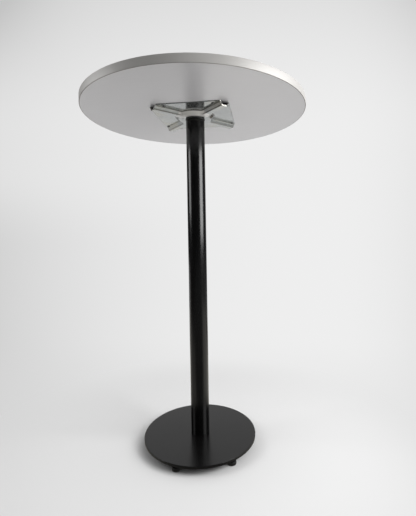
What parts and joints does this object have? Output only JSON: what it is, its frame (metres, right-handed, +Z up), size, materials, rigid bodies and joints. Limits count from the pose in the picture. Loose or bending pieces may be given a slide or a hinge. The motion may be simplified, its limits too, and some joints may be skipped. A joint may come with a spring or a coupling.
{
  "type": "pub table",
  "caption": "Tall round pub table: thin laminated top on a pressed steel bracket, single black tube column and a flat round steel base on screw-adjustable levelling feet.",
  "frame": {"origin": "on the floor, on the axis of the column", "axes": "+Z up along the column, X and Y along the sides of the square bracket under the top"},
  "size_m": [0.6999, 0.7, 1.09],
  "materials": {
    "silver_laminate": "satin silver-grey laminate with a faint grain",
    "silver_edge": "brushed silver edge band",
    "particle_board": "raw particle board",
    "zinc_plated_steel": "bright zinc plating on pressed sheet",
    "dark_screw_steel": "black finished screws",
    "black_coated_steel": "satin black coat",
    "black_plastic": "dark moulded plastic",
    "plain_steel": "turned steel",
    "zinc_fasteners": "zinc plated",
    "black_base_coat": "fine textured matt black coat",
    "foot_plastic": "black moulded plastic",
    "foot_stud_steel": "zinc plated thread"
  },
  "bodies": {
    "table": {"top_core": "particle_board", "top_laminate": "silver_laminate", "underside_laminate": "silver_laminate", "edge_band": "silver_edge", "top_bracket": "zinc_plated_steel", "bracket_screws": "dark_screw_steel", "column_tube": "black_coated_steel", "column_top_ring": "black_plastic", "column_foot_ring": "plain_steel", "tie_rod": "zinc_fasteners", "tie_rod_top_washer": "zinc_fasteners", "tie_rod_top_nut": "zinc_fasteners", "tie_rod_base_washer": "zinc_fasteners", "tie_rod_base_nut": "zinc_fasteners", "base_plate": "black_base_coat", "foot_bushes": "black_base_coat"},
    "foot_1_pad": {"foot_1_pad": "foot_plastic"},
    "foot_1_stud": {"foot_1_stud": "foot_stud_steel"},
    "foot_2_pad": {"foot_2_pad": "foot_plastic"},
    "foot_2_stud": {"foot_2_stud": "foot_stud_steel"},
    "foot_3_pad": {"foot_3_pad": "foot_plastic"},
    "foot_3_stud": {"foot_3_stud": "foot_stud_steel"},
    "foot_4_pad": {"foot_4_pad": "foot_plastic"},
    "foot_4_stud": {"foot_4_stud": "foot_stud_steel"},
    "foot_5_pad": {"foot_5_pad": "foot_plastic"},
    "foot_5_stud": {"foot_5_stud": "foot_stud_steel"},
    "foot_6_pad": {"foot_6_pad": "foot_plastic"},
    "foot_6_stud": {"foot_6_stud": "foot_stud_steel"}
  },
  "joints": [
    {"name": "foot_1_height", "type": "slide", "parent": "table", "child": "foot_1_pad", "axis": [0, 0, -1], "range_m": [0, 0.006]},
    {"name": "foot_1_screw", "type": "hinge", "parent": "foot_1_pad", "child": "foot_1_stud", "pos_m": [0.15745, 0.04219, 0.0125], "axis": [0, 0, -1], "range_deg": [0, 1728]},
    {"name": "foot_2_height", "type": "slide", "parent": "table", "child": "foot_2_pad", "axis": [0, 0, -1], "range_m": [0, 0.006]},
    {"name": "foot_2_screw", "type": "hinge", "parent": "foot_2_pad", "child": "foot_2_stud", "pos_m": [0.04219, 0.15745, 0.0125], "axis": [0, 0, -1], "range_deg": [0, 1728]},
    {"name": "foot_3_height", "type": "slide", "parent": "table", "child": "foot_3_pad", "axis": [0, 0, -1], "range_m": [0, 0.006]},
    {"name": "foot_3_screw", "type": "hinge", "parent": "foot_3_pad", "child": "foot_3_stud", "pos_m": [-0.11526, 0.11526, 0.0125], "axis": [0, 0, -1], "range_deg": [0, 1728]},
    {"name": "foot_4_height", "type": "slide", "parent": "table", "child": "foot_4_pad", "axis": [0, 0, -1], "range_m": [0, 0.006]},
    {"name": "foot_4_screw", "type": "hinge", "parent": "foot_4_pad", "child": "foot_4_stud", "pos_m": [-0.15745, -0.04219, 0.0125], "axis": [0, 0, -1], "range_deg": [0, 1728]},
    {"name": "foot_5_height", "type": "slide", "parent": "table", "child": "foot_5_pad", "axis": [0, 0, -1], "range_m": [0, 0.006]},
    {"name": "foot_5_screw", "type": "hinge", "parent": "foot_5_pad", "child": "foot_5_stud", "pos_m": [-0.04219, -0.15745, 0.0125], "axis": [0, 0, -1], "range_deg": [0, 1728]},
    {"name": "foot_6_height", "type": "slide", "parent": "table", "child": "foot_6_pad", "axis": [0, 0, -1], "range_m": [0, 0.006]},
    {"name": "foot_6_screw", "type": "hinge", "parent": "foot_6_pad", "child": "foot_6_stud", "pos_m": [0.11526, -0.11526, 0.0125], "axis": [0, 0, -1], "range_deg": [0, 1728]}
  ],
  "couplings": [
    {"joint": "foot_1_height", "follows": "foot_1_screw", "m_per_rad": 0.00019894},
    {"joint": "foot_2_height", "follows": "foot_2_screw", "m_per_rad": 0.00019894},
    {"joint": "foot_3_height", "follows": "foot_3_screw", "m_per_rad": 0.00019894},
    {"joint": "foot_4_height", "follows": "foot_4_screw", "m_per_rad": 0.00019894},
    {"joint": "foot_5_height", "follows": "foot_5_screw", "m_per_rad": 0.00019894},
    {"joint": "foot_6_height", "follows": "foot_6_screw", "m_per_rad": 0.00019894}
  ]
}
